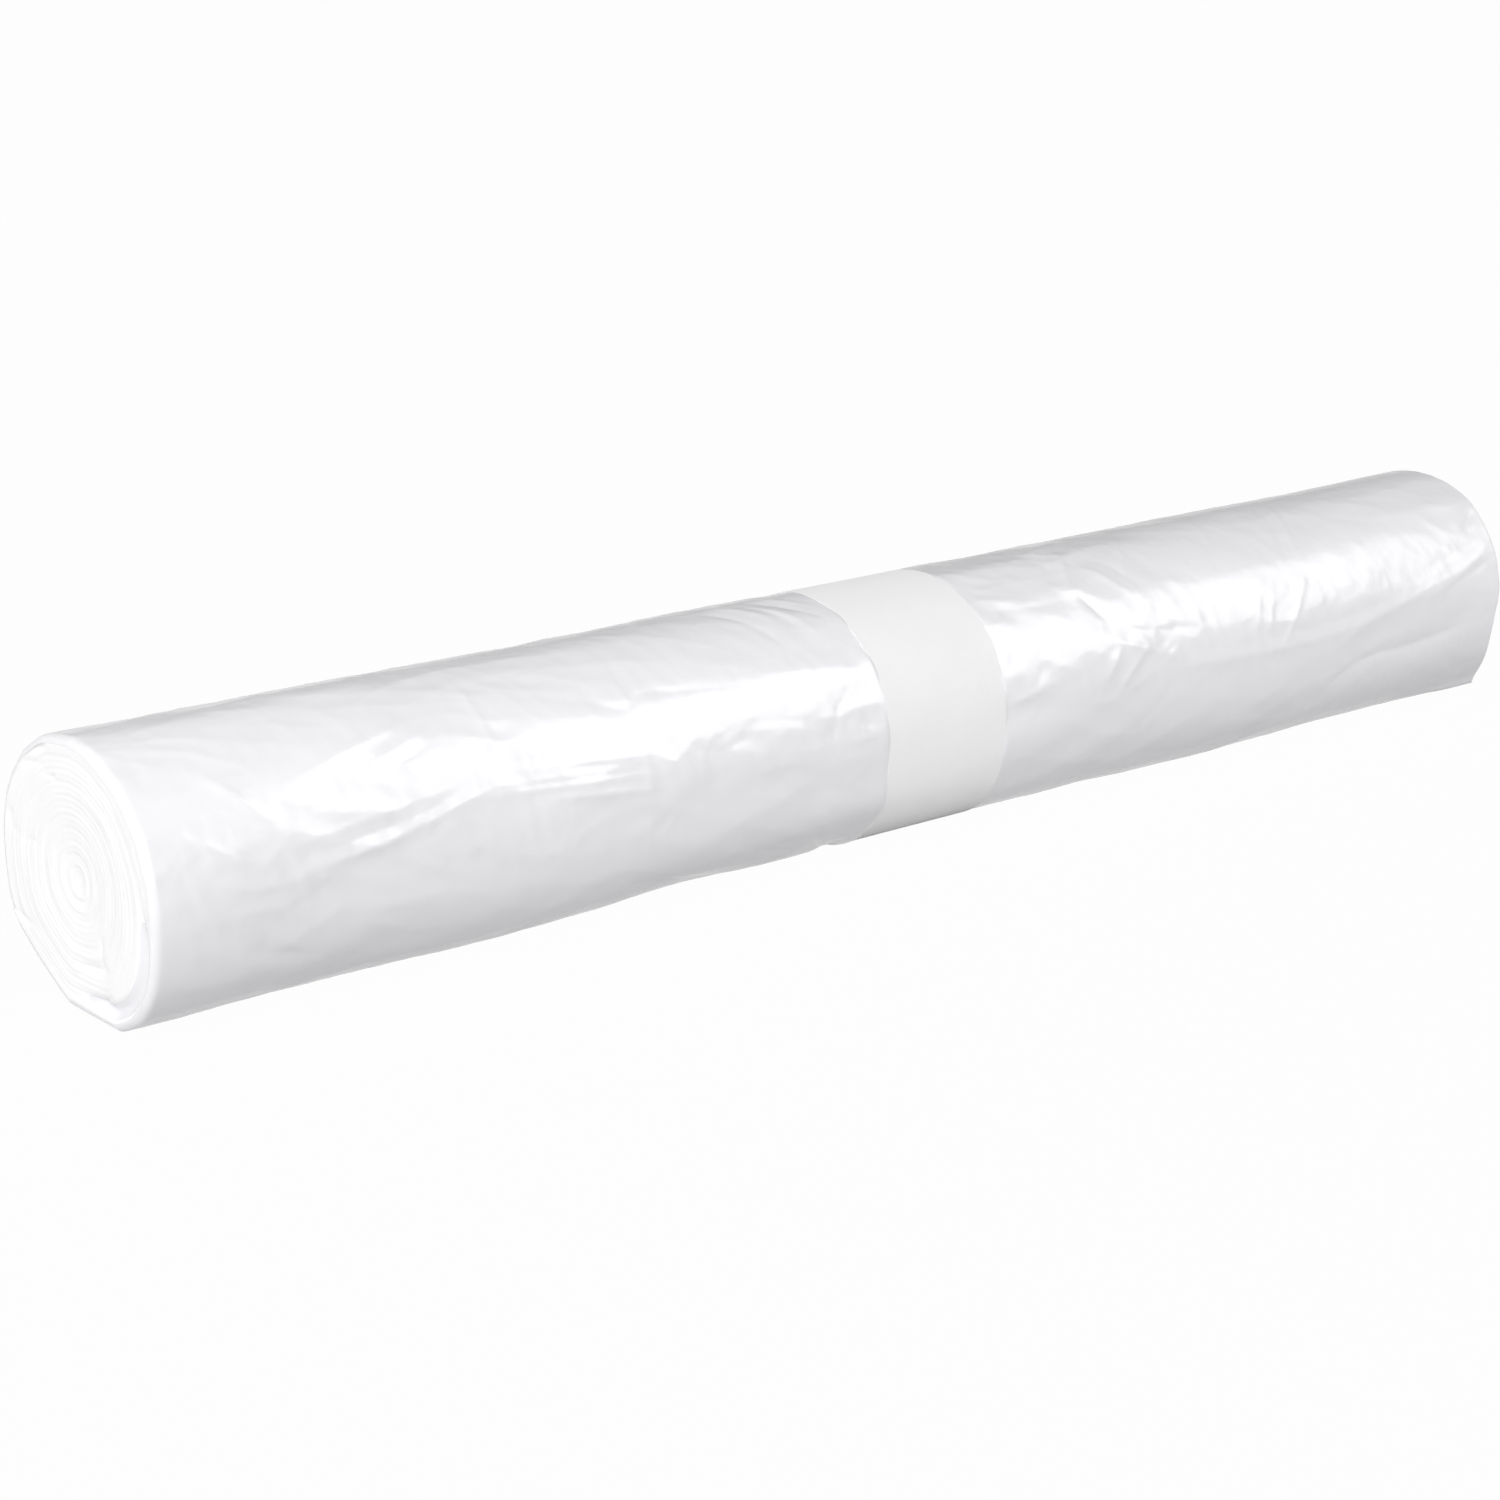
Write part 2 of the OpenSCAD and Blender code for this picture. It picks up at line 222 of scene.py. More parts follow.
# %% The creases of this roll
CREASES = [  # path as mm along and degrees round, then height (or depth, if below 0) and width in mm
    # beside the near end
    ([(-154, 149), (-135, 136), (-118, 125)], 0.38, 1.5),
    ([(-150, 144), (-128, 130), (-110, 124)], 0.2, 1.2),
    ([(-150, 177), (-128, 171), (-116, 165), (-102, 157)], 0.5, 1.3),
    ([(-148, 171), (-126, 166), (-106, 158)], -0.3, 1.2),
    ([(-150, 166), (-130, 161), (-112, 156)], 0.3, 1.2),
    ([(-137, 176), (-133, 172), (-120, 171)], 0.22, 1.2),
    ([(-160, 130), (-154, 148), (-149, 157)], 0.34, 1.2),
    ([(-171, 150), (-162, 160), (-156, 170)], 0.36, 1.3),
    ([(-173, 139), (-160, 135), (-148, 134)], 0.14, 1.1),
    ([(-130, 143), (-122, 137), (-115, 130)], 0.26, 1.1),
    ([(-128, 147), (-121, 141), (-116, 138)], -0.26, 1.1),
    ([(-124, 177), (-118, 188), (-110, 195)], 0.16, 1.2),
    ([(-118, 171), (-108, 184), (-102, 193)], 0.14, 1.2),
    ([(-114, 110), (-100, 120), (-88, 125)], 0.14, 1.5),
    ([(-158, 202), (-146, 208), (-138, 216)], -0.25, 2.0),
    ([(-136, 200), (-124, 196), (-112, 197)], 0.16, 2.0),
    # the fan of streaks half way to the band
    ([(-106, 152), (-92, 154), (-76, 157)], -0.24, 1.0),
    ([(-104, 156), (-85, 158), (-68, 162)], 0.36, 1.1),
    ([(-107, 160), (-90, 162), (-74, 165)], 0.32, 1.0),
    ([(-108, 163), (-92, 166), (-70, 169)], 0.5, 1.0),
    ([(-98, 169), (-84, 172), (-68, 176)], 0.5, 1.1),
    ([(-72, 70), (-72.5, 160), (-72, 250)], 0.07, 0.6),
    ([(-103, 92), (-103.5, 156)], 0.1, 0.6),
    ([(-90, 126), (-78, 136), (-73, 142), (-69, 134), (-60, 138), (-38, 146)], -0.24, 1.5),
    ([(-72, 159), (-66, 167), (-59, 178)], 0.2, 1.3),
    ([(-65, 155), (-58, 168), (-47, 162)], -0.2, 1.6),
    ([(-62, 138), (-50, 142), (-37, 147)], 0.18, 1.2),
    # left of the band
    ([(-28, 176), (-27, 165), (-24, 156), (-20, 150)], -0.18, 1.0),
    ([(-33, 150), (-31, 162), (-29, 170)], 0.14, 0.9),
    ([(-56, 166), (-42, 173), (-32, 175), (-24, 172)], 0.2, 1.7),
    ([(-28, 172), (-21, 176), (-13, 173)], 0.3, 1.2),
    ([(-50, 157), (-38, 160), (-26, 166)], -0.18, 1.4),
    ([(-22, 145), (-18, 138), (-14, 130)], -0.22, 1.0),
    ([(-76, 216), (-62, 224), (-48, 236)], -0.4, 2.2),
    ([(-50, 211), (-38, 222), (-25, 234)], -0.4, 2.0),
    ([(-40, 213), (-30, 224), (-20, 236)], -0.4, 1.8),
    ([(-30, 202), (-28, 214), (-22, 225)], 0.2, 1.2),
    ([(-30, 216), (-22, 232), (-18, 250)], -0.6, 1.8),
    ([(-20, 226), (-17.5, 245), (-16.5, 266)], -0.9, 1.3),
    ([(-43, 88), (-36, 104), (-33, 118), (-31, 132)], -0.2, 1.0),
    ([(-39, 84), (-31, 100), (-28, 116)], 0.2, 0.9),
    ([(-35, 84), (-27, 102), (-25, 120)], -0.2, 0.9),
    ([(-33, 88), (-24, 108), (-22, 126)], 0.22, 0.9),
    ([(-30, 86), (-21, 104), (-16, 120)], -0.22, 0.9),
    ([(-25, 86), (-19, 98), (-14, 110)], 0.2, 0.9),
    ([(-64, 95), (-48, 118), (-40, 131)], 0.13, 1.2),
    # right of the band
    ([(16, 149), (19, 141), (24, 133)], 0.24, 0.9),
    ([(16, 156), (19, 149), (23, 143)], -0.2, 0.9),
    ([(16, 163), (18, 157), (22, 149)], 0.24, 0.9),
    ([(16, 168), (19, 161), (22, 155)], -0.16, 0.9),
    ([(14, 176), (22, 174), (34, 168)], 0.35, 1.2),
    ([(15, 118), (30, 117), (50, 119)], 0.2, 1.3),
    ([(16, 122), (25, 126), (35, 132)], 0.28, 1.4),
    ([(18, 130), (32, 134), (45, 134)], -0.18, 1.6),
    ([(52, 99), (48, 114), (43, 132)], 0.4, 1.3),
    ([(47, 100), (44, 112), (41, 123)], -0.26, 1.3),
    ([(51, 114), (55, 126), (60, 139)], 0.32, 1.4),
    ([(56, 109), (60, 122), (63, 135)], -0.2, 1.2),
    ([(45, 131), (48, 142), (51, 152)], -0.4, 1.2),
    ([(40, 122), (43, 132), (50, 126)], 0.28, 1.2),
    ([(44, 147), (52, 153), (62, 157), (76, 160)], -0.26, 1.0),
    ([(46, 154), (56, 163), (70, 173)], 0.42, 1.0),
    ([(49, 183), (53, 172), (60, 162)], 0.36, 1.2),
    ([(45, 177), (48, 168), (52, 159)], 0.3, 1.1),
    ([(55, 150), (63, 159)], 0.2, 0.8),
    ([(49, 88), (44, 110)], 0.15, 0.9),
    ([(61, 87), (51, 115)], 0.15, 1.0),
    ([(71, 94), (59, 135)], 0.16, 1.0),
    ([(66, 186), (58, 198), (50, 208)], -0.18, 1.4),
    # towards the far end
    ([(60, 176), (90, 178), (110, 178.5), (130, 175), (150, 166), (180, 152)], 0.32, 2.1),  # a long fold
    ([(70, 172), (110, 173), (132, 169), (160, 156)], -0.16, 1.8),
    ([(112, 212), (121, 197), (130, 193), (148, 193), (168, 187)], -0.5, 2.2),
    ([(142, 161), (158, 153), (178, 145)], -0.16, 1.5),
    ([(146, 172), (162, 163), (174, 150)], 0.28, 1.4),
    ([(154, 169), (166, 163), (174, 157)], -0.26, 1.2),
    ([(120, 94), (115, 118), (111, 139)], 0.2, 0.9),
    ([(117, 94), (112, 116), (108, 137)], -0.15, 0.9),
    ([(123, 96), (120, 110), (116, 125)], 0.15, 0.9),
    ([(111, 148), (106, 160), (100, 177)], 0.26, 0.9),
    ([(96, 149), (91, 171)], 0.13, 0.8),
    ([(100, 150), (95, 171)], 0.13, 0.8),
    ([(95, 92), (90, 125)], 0.13, 0.9),
    ([(127, 116), (137, 124), (146, 128)], -0.18, 1.8),
    ([(133, 105), (142, 112), (149, 124)], 0.18, 1.6),
    ([(158, 120), (166, 128), (173, 122)], 0.2, 1.2),
    ([(166, 142), (174, 131)], -0.28, 1.0),
    ([(90, 208), (96, 200), (106, 195)], 0.16, 1.5),
    ([(56, 216), (80, 226), (104, 221)], -0.3, 2.4),
    ([(116, 122), (160, 125), (204, 126)], 0.4, 6.0),  # a broad swelling
    ([(148, 230), (176, 227), (204, 226)], 1.25, 1.5),  # the sharp lower corner
]


def creases(x, degrees):
    """All the creases together, each pressed in on the part of the roll that it crosses."""
    surface = np.zeros(x.shape)
    for path, height, width in CREASES:
        middle = np.mean([p[1] for p in path])
        around = (degrees - middle + 180) % 360 - 180
        from_middle = [(p[0], (p[1] - middle) * MM_PER_DEGREE) for p in path]
        press(surface, x, around * MM_PER_DEGREE, from_middle, height, width)
    return surface


print(len(CREASES), "creases placed by hand")

# %% [markdown]
# ## Sags
# A roll this soft doesn't keep a straight back. Its top sags by half a millimetre between
# the ends and the band, which shows only as a slow curve of the outline, so a bell curve
# along the roll times one round it is enough.

# %% Where the top sags
SAGS = [  # place along the roll, reach and depth in mm
    (-95, 36, 0.6),
    (72, 32, 0.4),
]
SAG_ANGLE, SAG_SPREAD = 80, 36


def sag(x, degrees):
    along = sum(depth * bell(x - place, reach) for place, reach, depth in SAGS)
    return along * hump(degrees, SAG_ANGLE, SAG_SPREAD)


print("deepest sag:", max(depth for _, _, depth in SAGS), "mm")

# %% [markdown]
# ## Crumple
# Between the large creases the film is crumpled all over. Noise that is folded at zero has
# thin crests between soft slopes, as crumpled film has, and drawing it out along a slant
# makes the crests long. Four such layers cross each other. The film is livelier where the
# hand that rolled it pressed, and calmer along the top.

# %% Crumple the film
NOISE_MEAN, WANDER = 0.22, 0.4
CRUMPLE = [  # slant in degrees, length, width and height of the crests in mm
    (-14, 34, 8, 0.6),
    (20, 22, 5.5, 0.4),
    (74, 16, 4.5, 0.18),
    (-32, 9, 3, 0.1),
]


def folded_noise(x, s, slant, length, width):
    """Noise folded at zero, with its mean taken off so that it neither lifts nor sinks the film."""
    turn = math.radians(slant)
    along = (x * math.cos(turn) + s * math.sin(turn)) / length
    across = (s * math.cos(turn) - x * math.sin(turn)) / width
    values = [
        abs(noise.noise(Vector((u, v + WANDER * noise.noise(Vector((u * 1.7, v * 0.3, slant))), length))))
        for u, v in zip(along.ravel(), across.ravel())
    ]
    return NOISE_MEAN - np.array(values).reshape(x.shape)


def liveliness(x, degrees):
    """How crumpled the film is, from 0 for smooth to about 1."""
    front = 0.4 * hump(degrees, 168, 16)
    top_front = 0.15 * hump(degrees, 108, 14)
    back = 0.35 * hump(degrees, 20, 60)
    in_highlight = 0.25 * hump(degrees, 138, 8)
    beside_band = 0.35 * np.exp(-off_band(x) / 20)
    near_end = 0.3 * bell(x + 150, 40)
    far_end = 0.35 * np.clip((x - 110) / 30, 0, 1)
    round_it = (0.45 + front + top_front + back) * (1 - in_highlight)
    return round_it * (1 + (beside_band + near_end)) * (1 - far_end)


def crumple(x, degrees):
    """The crumple, faded out where the angles start again so that it closes round the roll."""
    s = degrees * MM_PER_DEGREE
    layers = sum(
        height * folded_noise(x, s, slant, length, width) for slant, length, width, height in CRUMPLE
    )
    calm_top = 1 - 0.35 * hump(degrees, 88, 22)
    at_film_edge = 1 - hump(degrees, FILM_EDGE_ANGLE, 6)
    return liveliness(x, degrees) * calm_top * at_film_edge * layers


print(len(CRUMPLE), "layers of crumple, the longest crests", max(c[1] for c in CRUMPLE), "mm long")

# %% [markdown]
# ## Wind the film
# The outside of the roll is a flat sheet to begin with: a grid whose one side runs along the
# roll and whose other side goes once round it. Every point is then moved to its place on the
# roll, which is what winding does. The roll is made in two lengths that meet under the paper,
# where nobody sees it, so that each has enough faces for its creases.

# %% Places along the roll and round it
SIDES = 250
SKIN_STATIONS = 268
LIP_ROUND, LIP_RINGS = {-1: 1.6, 1: 0.9}, 8  # -1 is the near end, 1 the far end
FILM_TO_PAPER, UNDER_PAPER = 0.3, 1.2
KNOCKED_FROM, KNOCKED_REACH = 120, 55
KNOCKED_OUT, KNOCKED_IN = (1.0, 110, 35), (1.9, 197, 19)  # mm, angle and spread
CROWDED = 0.25


def stations(end):
    """[x, inset, height of the flat, share of the relief] from one end to the middle of the band."""
    rows = []
    for ring in range(LIP_RINGS):
        turned = math.radians(90) * (1 - ring / (LIP_RINGS - 1))
        inset = LIP_ROUND[end] * (1 - math.cos(turned))
        rows.append((end * (ROLL_LENGTH / 2 - LIP_ROUND[end] * (1 - math.sin(turned))), inset, inset, 1))
    band_end = BAND_LEFT if end < 0 else BAND_RIGHT
    lip_x = end * (ROLL_LENGTH / 2 - LIP_ROUND[end])
    last_x = band_end + end * FILM_TO_PAPER
    for i in range(1, SKIN_STATIONS + 1):
        rows.append((lip_x + (last_x - lip_x) * i / SKIN_STATIONS, 0, 0, 1))
    for sunk in (1 / 3, 2 / 3, 1):
        x = last_x + (band_end - end * UNDER_PAPER - last_x) * sunk
        rows.append((x, FILM_UNDER_BAND * sunk, (PAPER + BAND_CLEARANCE) * sunk, 1 - sunk))
    rows.append((BAND_OFFSET, FILM_UNDER_BAND, PAPER + BAND_CLEARANCE, 0))
    return np.array(rows)


def slant(x, degrees):
    """How far the far end is knocked out of square: in at the front and out at the top."""
    near_far_end = np.clip((x - KNOCKED_FROM) / KNOCKED_REACH, 0, 1) ** 2
    outwards = KNOCKED_OUT[0] * hump(degrees, *KNOCKED_OUT[1:])
    inwards = KNOCKED_IN[0] * hump(degrees, *KNOCKED_IN[1:])
    return near_far_end * (outwards - inwards)


def crowd(share):
    """Moves places round the roll closer together at the front, where the light is busiest."""
    return share + CROWDED * np.sin(2 * np.pi * share) / (2 * np.pi)


print("the film has", SIDES, "places round it and", 2 * SKIN_STATIONS, "along it")

# %% [markdown]
# ## The wound ends
# At each end the edges of hundreds of turns bunch together into shallow ridges, wound from an
# eye in the middle out to the edge of the film. No two turns end at quite the same place, so
# slow noise that follows the spiral shifts them in and out. Where the roll was knocked, the
# edges are bent into short marks, and at the near end a hollow parts the lowest turns from
# the rest, as if a thumb had run along them.

# %% The form of the ends
SHOWN_TURNS, ROWS_PER_TURN, EYE_TURNS = 20, 4, 0.5
TURN_GROOVE, END_DISH, TURN_SHIFT = 0.06, 0.9, 0.12
MEAN_SHIFT, TURN_SCATTER, PLACE_SCATTER = 0.4, 0.8, 0.05
HOLLOW_DEPTH, HOLLOW_IN, HOLLOW_INNER, HOLLOW_OUTER = 1.4, 3.6, 1.3, 1.2
HOLLOW_STARTS, HOLLOW_ENDS = 188, 258  # degrees
SOFT_START, SOFT_END, CALM_RIM_TURNS = 4, 5, 1.5
NEAR_END_MARKS = [  # paths across and up from the axis in mm, then height and width
    ([(18.5, 18.6), (12.4, 21.0), (7.0, 21.6)], -0.45, 0.8),
    ([(24.6, 5.4), (21.2, 7.6)], -0.35, 0.7),
    ([(22.5, 4.2), (18.8, 3.4)], -0.15, 0.5),
    ([(19.6, 2.8), (12.0, 3.8)], -0.15, 0.4),
    ([(23.4, -11.3), (15.0, -12.2)], -0.3, 0.4),
    ([(2.0, -15.3), (-3.7, -14.5), (-10.4, -13.2)], -0.5, 1.3),
    ([(-7.9, -6.9), (-7.4, -12.0), (-8.8, -14.6)], -0.22, 0.6),
    ([(-4.8, -20.4), (-8.0, -19.2), (-11.2, -17.6)], -0.5, 0.8),
    ([(17.6, 17.0), (9.0, 18.6)], -0.25, 0.4),
    ([(7.8, 16.5), (4.4, 17.1)], -0.25, 0.4),
]
FAR_END_MARKS = [
    ([(-17.0, 9.5), (-12.4, 14.0), (-6.0, 16.6)], -0.6, 0.8),
    ([(15.5, -8.0), (8.0, -10.6)], -0.4, 0.6),
    ([(-3.0, -6.2), (-9.6, -9.8)], -0.5, 0.9),
]


def hollow(degrees, in_from_rim):
    """The depth of the hollow inside the lowest turns, from 3 o'clock to nearly 6, seen end-on."""
    starts = 1 / (1 + np.exp(-(degrees % 360 - HOLLOW_STARTS) / SOFT_START))
    ends = 1 / (1 + np.exp((degrees % 360 - HOLLOW_ENDS) / SOFT_END))
    wide = np.where(in_from_rim > HOLLOW_IN, HOLLOW_INNER, HOLLOW_OUTER)
    return HOLLOW_DEPTH * starts * ends * bell(in_from_rim - HOLLOW_IN, wide)


def end_rows(end, rim):
    """Rows of points on the spiral with their turns, from just inside the rim to the eye."""
    share = crowd(np.linspace(0, 1, SIDES + 1))
    a = turn_angle(share)
    rim_now = rim - FILM_EDGE * share
    rows = []
    for row in range(SHOWN_TURNS * ROWS_PER_TURN - 1, -1, -1):
        turns = row / ROWS_PER_TURN + share
        out = np.minimum((turns + EYE_TURNS) / (SHOWN_TURNS + EYE_TURNS), 1)
        radius = out * (AXIS_HEIGHT + (rim_now - AXIS_HEIGHT) * out)
        radius = radius + FILM_EDGE * share * np.clip(turns - SHOWN_TURNS, 0, 1)
        y, z = radius * np.cos(a), radius * np.sin(a)
        shifted = [
            noise.noise(Vector((t * TURN_SCATTER, PLACE_SCATTER * py, PLACE_SCATTER * pz + end)))
            for t, py, pz in zip(turns, y, z)
        ]
        calm_rim = np.clip((SHOWN_TURNS - turns) / CALM_RIM_TURNS, 0, 1)
        ridge = 0.5 - 0.5 * math.cos(2 * math.pi * row / ROWS_PER_TURN)
        height = -END_DISH * np.maximum(0, 1 - turns / (SHOWN_TURNS - 1)) ** 2
        sunk = TURN_GROOVE * (1 - ridge) + TURN_SHIFT * (MEAN_SHIFT + np.array(shifted))
        height = height - calm_rim * sunk
        for path, mark, width in NEAR_END_MARKS if end < 0 else FAR_END_MARKS:
            press(height, y, z, path, mark, width)
        if end < 0:
            height = height - hollow(np.degrees(a), rim - radius + LIP_ROUND[end])
        x = end * (ROLL_LENGTH / 2 + np.minimum(height, 0))
        x = x + out**2 * slant(x, np.degrees(a))
        rows.append((np.stack([x, y, z], 1), turns))
    return rows


print(SHOWN_TURNS, "turns shown at each end")

# %% [markdown]
# ## Wind one length of the roll
# The sheet is wound, its rim is extruded inwards row by row, and each row is moved to its
# place on the spiral. Because a turn ends where the next begins, merging doubles closes the
# seam of the spiral. The film's last edge stays a step along the roll, closed by bridging its
# two sides. Every point keeps the number of its turn, which the material of the ends reads.
# The faces of the near end's hollow get the film's own material, which is darker than the edges. They are
# film seen from its flat side, and the darker colour also paints shade into the hollow.
# Beside the paper the film lies calm, but at the lower left it bulges over it.

# %% Make the two lengths
OVER_PAPER = 0.18  # how far the film bulges over the paper's edge at the lower left
BULGE_ANGLE, BULGE_SPREAD, BULGE_REACH = 205, 50, 3
CALM_REACH, FREE_ANGLE, FREE_SPREAD = 2.5, 252, 24
OUTSIDE, EDGE_ON = 0, 1  # places of the two materials
WELD = 1e-4  # mm


def place_in_scene(name, bm):
    """Makes an object of a bmesh, smooth-shaded, with its place in its mesh."""
    mesh = bpy.data.meshes.new(name)
    bm.to_mesh(mesh)
    bm.free()
    mesh.polygons.foreach_set("use_smooth", [True] * len(mesh.polygons))
    made = bpy.data.objects.new(name, mesh)
    bpy.context.scene.collection.objects.link(made)
    return made


def stand_on_ground(bm):
    """Moves a shape from the roll's axis to its place above the ground, and from mm to metres."""
    bmesh.ops.translate(bm, verts=bm.verts, vec=(0, MIDDLE_Y, AXIS_HEIGHT))
    bmesh.ops.scale(bm, verts=bm.verts, vec=(MM, MM, MM))


def film_relief(x, a, end):
    """Everything that lifts or sinks the film, in mm."""
    degrees = np.degrees(a)
    free = 1 - bell(off_band(x), CALM_REACH) * (1 - hump(degrees, FREE_ANGLE, FREE_SPREAD))
    bulge = OVER_PAPER * hump(degrees, BULGE_ANGLE, BULGE_SPREAD) * bell(off_band(x), BULGE_REACH) * (end < 0)
    fine = creases(x, degrees) + crumple(x, degrees)
    return large_relief(x, a) - sag(x, degrees) + free * fine + bulge


def is_in_hollow(face):
    """Whether a face lies at least a quarter of the way down the near end's hollow, where the darker film
    material paints shade.
    """
    y, z = face.calc_center_median().yz
    around = math.degrees(math.atan2(z, y))
    skin = float(skin_radius((around - FILM_EDGE_ANGLE) % 360 / 360, 0, 0))
    return hollow(around, np.float64(skin - math.hypot(y, z))) > HOLLOW_DEPTH / 4


def make_film(name, end):
    rows = stations(end)
    bm = bmesh.new()
    turn_layer = bm.verts.layers.float.new("turns")
    bmesh.ops.create_grid(bm, x_segments=len(rows) - 1, y_segments=SIDES, size=0.5)
    bm.verts.ensure_lookup_table()
    flat = np.array([v.co for v in bm.verts])
    column = np.rint((flat[:, 0] + 0.5) * (len(rows) - 1)).astype(int)
    side = np.rint((flat[:, 1] + 0.5) * SIDES).astype(int)
    x, inset, height, amount = rows[column].T
    share = crowd(side / SIDES)
    a = turn_angle(share)
    radius = skin_radius(share, inset - amount * film_relief(x, a, end), height)
    slanted_x = x + slant(x, np.degrees(a))
    for v, px, py, pz in zip(bm.verts, slanted_x, radius * np.cos(a), radius * np.sin(a)):
        v.co = (px, py, pz)
        v[turn_layer] = SHOWN_TURNS + 1

    places = {v: k for v, k, c in zip(bm.verts, side, column) if c == 0}
    rim_radius = np.zeros(SIDES + 1)
    for v, k in places.items():
        rim_radius[k] = math.hypot(v.co.y, v.co.z)
    chain = [e for e in bm.edges if all(v in places for v in e.verts)]
    skin_faces = len(bm.faces)
    for points, turns in end_rows(end, rim_radius):
        made = bmesh.ops.extrude_edge_only(bm, edges=chain)["geom"]
        fresh = [g for g in made if isinstance(g, bmesh.types.BMVert)]
        before = places
        places = {}
        for v in fresh:
            across = [e.other_vert(v) for e in v.link_edges]
            places[v] = next(before[w] for w in across if w in before)
        for v, k in places.items():
            v.co = points[k]
            v[turn_layer] = turns[k]
        new_edges = [g for g in made if isinstance(g, bmesh.types.BMEdge)]
        chain = [e for e in new_edges if all(v in places for v in e.verts)]
    # the skin gets the film's material, and so do the hollow's faces, as partly painted shade
    for i, face in enumerate(bm.faces):
        face_or_hollow_shade = i < skin_faces or (end < 0 and is_in_hollow(face))
        face.material_index = OUTSIDE if face_or_hollow_shade else EDGE_ON

    bm.verts.ensure_lookup_table()
    first = {v for v, k in zip(bm.verts, side) if k == 0}
    last = {v for v, k in zip(bm.verts, side) if k == SIDES}
    edges = [e for e in bm.edges if set(e.verts) <= first or set(e.verts) <= last]
    bmesh.ops.bridge_loops(bm, edges=edges)
    bmesh.ops.remove_doubles(bm, verts=bm.verts, dist=WELD)
    open_edges = [e for e in bm.edges if e.is_boundary]
    print(name, "open edges before closing:", len(open_edges))
    bmesh.ops.holes_fill(bm, edges=open_edges, sides=0)
    bmesh.ops.recalc_face_normals(bm, faces=bm.faces)
    stand_on_ground(bm)
    film = place_in_scene(name, bm)
    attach(film, "root")
    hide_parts("bag_roll")
    film.data.calc_loop_triangles()
    print(name, "has", len(film.data.loop_triangles), "triangles")
    return film


film_left = make_film("film_left", -1)
film_right = make_film("film_right", 1)

# %% [markdown]
# ## The paper band
# The band is a real strip of paper: a flat grid again, wound once round the roll until it laps
# over its own start, where the glue is. It is cut a little out of true, the gathers beneath
# press it out here and there, and solidifying gives it its thickness.

# %% Make the paper band
BAND_SIDES, BAND_COLUMNS = 300, 26
GLUE_ANGLE, GLUE_WIDTH = 20, 12
BRIDGE_SHARE = 1 / 60  # of a turn, over which the paper climbs a step
GLUE_FROM = (GLUE_ANGLE - FILM_EDGE_ANGLE) % 360 / 360
WOUND = 1 + GLUE_WIDTH / (math.pi * (ROLL_WIDTH + ROLL_HEIGHT) / 2)
CUT_WAVE, PRESSED_OUT, PRESSED_SPACING = 0.14, 0.1, 16
PAPER_CORNER = math.radians(40)

bm = bmesh.new()
bmesh.ops.create_grid(bm, x_segments=BAND_COLUMNS, y_segments=BAND_SIDES, size=0.5)
flat = np.array([v.co for v in bm.verts])
wound = (flat[:, 1] + 0.5) * WOUND
share = (GLUE_FROM + wound) % 1
a = turn_angle(share)
over_film_edge = FILM_EDGE * np.maximum(0, 1 - share / BRIDGE_SHARE)
over_start = PAPER * np.clip((wound - 1) / BRIDGE_SHARE + 1, 0, 1)
x = BAND_OFFSET + BAND_WIDTH * flat[:, 0]
x = x + CUT_WAVE * np.sin(3 * a + 4 * flat[:, 0]) * np.abs(2 * flat[:, 0])
pressed = [
    abs(noise.noise(Vector((px / PRESSED_SPACING, 5 * math.cos(t), 5 * math.sin(t)))))
    for px, t in zip(x, a)
]
outwards = over_film_edge + over_start + PRESSED_OUT * np.array(pressed)
radius = skin_radius(share, BAND_PULL - outwards, 0)
for v, px, py, pz in zip(bm.verts, x, radius * np.cos(a), radius * np.sin(a)):
    v.co = (px, py, pz)
bmesh.ops.recalc_face_normals(bm, faces=bm.faces)
bmesh.ops.solidify(bm, geom=bm.faces, thickness=PAPER)
bmesh.ops.recalc_face_normals(bm, faces=bm.faces)
stand_on_ground(bm)
for edge in bm.edges:
    edge.smooth = edge.calc_face_angle(0) < PAPER_CORNER
band = place_in_scene("band_strip", bm)
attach(band, "root")
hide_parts("paper_band")
tops = [v.co.z / MM for v in band.data.vertices]
print("band_strip has", len(band.data.polygons), "faces")
print("and stands from", round(min(tops), 3), "to", round(max(tops), 3), "mm")

# %% [markdown]
# ## Film material
# The film is polyethylene: translucent white, and glossy where it lies smooth. Noise makes the
# gloss uneven, and slower noise clouds the colour a little, as the layers below show through
# here and there. Fine wrinkles that are too small for the mesh come from noise drawn out
# along the roll, as a bump.

# %% Helpers for materials
NOISE_LOW, NOISE_HIGH = 0.3, 0.7
PLASTIC_IOR = 1.5


def new_material(name):
    material = bpy.data.materials.new(name)
    material.use_nodes = True
    nodes, links = material.node_tree.nodes, material.node_tree.links
    return material, nodes, links, nodes["Principled BSDF"]


def stretched_noise(nodes, links, stretch, scale, detail):
    """Noise on the object's own coordinates in metres. Stretch scales each axis."""
    place = nodes.new("ShaderNodeTexCoord")
    mapping = nodes.new("ShaderNodeMapping")
    mapping.inputs["Scale"].default_value = stretch
    texture = nodes.new("ShaderNodeTexNoise")
    texture.inputs["Scale"].default_value = scale
    texture.inputs["Detail"].default_value = detail
    links.new(place.outputs["Object"], mapping.inputs["Vector"])
    links.new(mapping.outputs["Vector"], texture.inputs["Vector"])
    return texture.outputs["Fac"]


def between(nodes, links, value, low, high):
    """Spreads a noise, which mostly lies from 0.3 to 0.7, over a range."""
    spread = nodes.new("ShaderNodeMapRange")
    spread.inputs["From Min"].default_value = NOISE_LOW
    spread.inputs["From Max"].default_value = NOISE_HIGH
    spread.inputs["To Min"].default_value = low
    spread.inputs["To Max"].default_value = high
    links.new(value, spread.inputs["Value"])
    return spread.outputs["Result"]


